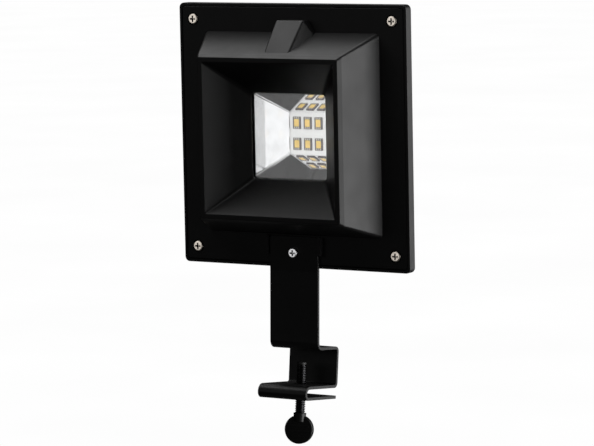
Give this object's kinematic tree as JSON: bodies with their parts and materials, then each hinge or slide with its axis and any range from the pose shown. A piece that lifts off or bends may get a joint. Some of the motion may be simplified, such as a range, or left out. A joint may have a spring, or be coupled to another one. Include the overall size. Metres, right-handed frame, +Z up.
{
  "type": "solar flood light",
  "caption": "Square solar flood light with a deep hooded reflector, rear solar panel and a bent-strap clamp bracket tightened by a thumb screw.",
  "frame": {"origin": "on the clamp seat, the underside of the bracket's shelf, where the thumb screw's axis meets it", "axes": "+X to the right seen from the lit side, -Y out of the lit face, +Z up"},
  "size_m": [0.15, 0.0541, 0.2519],
  "materials": {
    "housing_plastic": "satin moulded ABS, fine grain",
    "seal_rubber": "matt",
    "clear_lens": "clear, polished",
    "reflector_metal": "vacuum metallised, bright",
    "screw_steel": "bright zinc plate",
    "led_mask": "white solder mask",
    "led_body": "white moulded package",
    "led_phosphor": "yellow phosphor gel",
    "foam_tape": "closed cell foam",
    "panel_board": "black laminate",
    "solar_cell": "dark blue silicon",
    "panel_glass": "clear laminate",
    "battery_sleeve": "shrink sleeve",
    "tab_nickel": "nickel strip",
    "inner_plastic": "moulded",
    "circuit_board": "green solder mask",
    "chip_plastic": "moulded epoxy",
    "capacitor_can": "sleeved can",
    "button_rubber": "matt silicone",
    "lead_red": "PVC insulation",
    "lead_black": "PVC insulation",
    "screw_zinc": "passivated zinc plate",
    "strap_paint": "satin black powder coat",
    "stud_steel": "black zinc plate",
    "grip_plastic": "moulded, semi-gloss",
    "pad_plastic": "moulded nylon"
  },
  "bodies": {
    "lamp": {"front_housing": "housing_plastic", "rear_cover": "housing_plastic", "housing_seal": "seal_rubber", "lens_seal": "seal_rubber", "window_lens": "clear_lens", "reflector": "reflector_metal", "reflector_screws": "screw_steel", "led_board": "led_mask", "led_packages": "led_body", "led_phosphors": "led_phosphor", "led_board_screws": "screw_steel", "panel_tape": "foam_tape", "panel_backsheet": "panel_board", "solar_cells": "solar_cell", "panel_cover": "panel_glass", "battery_cell": "battery_sleeve", "battery_terminal": "tab_nickel", "battery_tabs": "tab_nickel", "battery_saddles": "inner_plastic", "control_board": "circuit_board", "control_board_screws": "screw_steel", "control_chips": "chip_plastic", "boost_inductor": "chip_plastic", "storage_capacitor": "capacitor_can", "button_switch": "chip_plastic", "leads_red": "lead_red", "leads_black": "lead_black", "corner_screws": "screw_zinc", "strap_screw": "screw_steel", "bracket_strap": "strap_paint"},
    "button": {"power_button": "button_rubber"},
    "screw_pad": {"tip_pad": "pad_plastic"},
    "thumb_screw": {"thumb_stud": "stud_steel", "thumb_grip": "grip_plastic"}
  },
  "joints": [
    {"name": "screw_travel", "type": "slide", "parent": "lamp", "child": "screw_pad", "axis": [0, 0.1132, 0.9936], "range_m": [-0.012, 0.0078]},
    {"name": "screw_turn", "type": "hinge", "parent": "screw_pad", "child": "thumb_screw", "pos_m": [0, -0.00089, -0.00785], "axis": [0, 0.1132, 0.9936], "range_deg": [-4320, 2808]},
    {"name": "power_button_press", "type": "slide", "parent": "lamp", "child": "button", "axis": [0, -1, 0], "range_m": [0, 0.0008], "stiffness_N_per_m": 900, "springref_m": -0.0008}
  ],
  "couplings": [
    {"joint": "screw_turn", "follows": "screw_travel", "rad_per_m": 6283.2}
  ]
}
